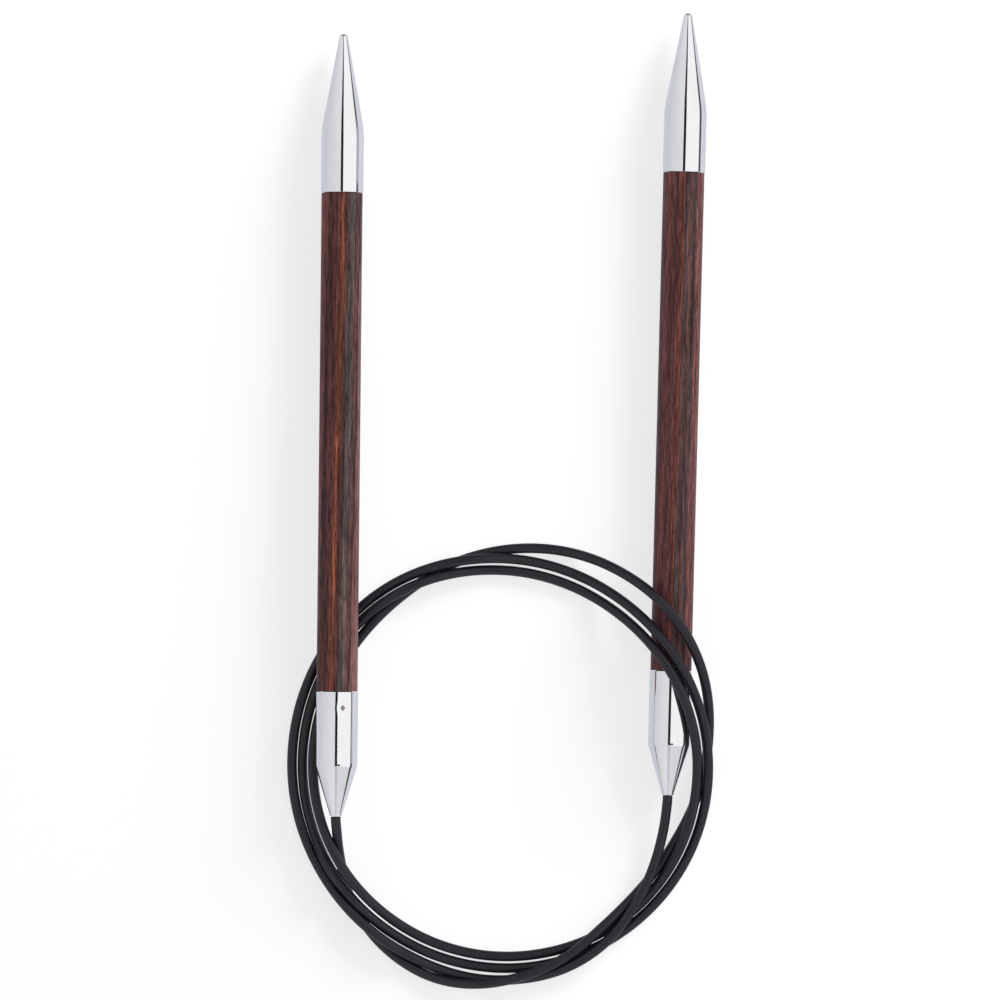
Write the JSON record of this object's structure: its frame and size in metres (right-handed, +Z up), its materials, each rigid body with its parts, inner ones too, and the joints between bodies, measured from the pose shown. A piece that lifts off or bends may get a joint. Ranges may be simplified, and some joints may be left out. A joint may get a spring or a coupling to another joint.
{
  "type": "circular knitting needles",
  "caption": "Pair of turned needles with plated metal tips and laminated wood barrels, joined end to end by one coiled nylon cable, for knitting in the round or flat.",
  "frame": {"origin": "on the surface that the object lies on, under the middle of the two needles' bounding box, the cable left out", "axes": "+Z up from the surface, +Y along the needles from their cable ends towards their points, +X from the left needle towards the right one"},
  "size_m": [0.073, 0.1665, 0.0093],
  "materials": {
    "plated_metal": "bright nickel plating on brass",
    "laminated_wood": "dyed laminated birch, red-brown with dark and orange layers, sealed to a satin gloss",
    "brass": "bare, crimped",
    "black_nylon": "smooth black nylon with a soft sheen"
  },
  "bodies": {
    "cable": {"cable_coil": "black_nylon", "right_cable_lead": "black_nylon"},
    "left_lead": {"left_cable_lead": "black_nylon"},
    "left_needle": {"left_metal_tip": "plated_metal", "left_wood_barrel": "laminated_wood", "left_rear_ferrule": "plated_metal", "left_crimp_sleeve": "brass", "left_cable_end": "black_nylon"},
    "right_needle": {"right_metal_tip": "plated_metal", "right_wood_barrel": "laminated_wood", "right_rear_ferrule": "plated_metal", "right_crimp_sleeve": "brass", "right_cable_end": "black_nylon"}
  },
  "joints": [
    {"name": "left_needle_lift", "type": "hinge", "parent": "cable", "child": "left_lead", "pos_m": [-0.02986, -0.0708, 0.00555], "axis": [1, -0.01, 0], "range_deg": [0, 45], "stiffness_Nm_per_rad": 0.02, "deforming": ["left_cable_lead"]},
    {"name": "left_needle_roll", "type": "hinge", "parent": "left_lead", "child": "left_needle", "pos_m": [-0.02992, -0.06833, 0.00594], "axis": [0.01, 0.9997, -0.0203], "range_deg": [-180, 180], "stiffness_Nm_per_rad": 0.0005},
    {"name": "right_needle_roll", "type": "hinge", "parent": "cable", "child": "right_needle", "pos_m": [0.02657, -0.0648, 0.00359], "axis": [0.0262, 0.9997, 0], "range_deg": [-180, 180], "stiffness_Nm_per_rad": 0.0005}
  ]
}
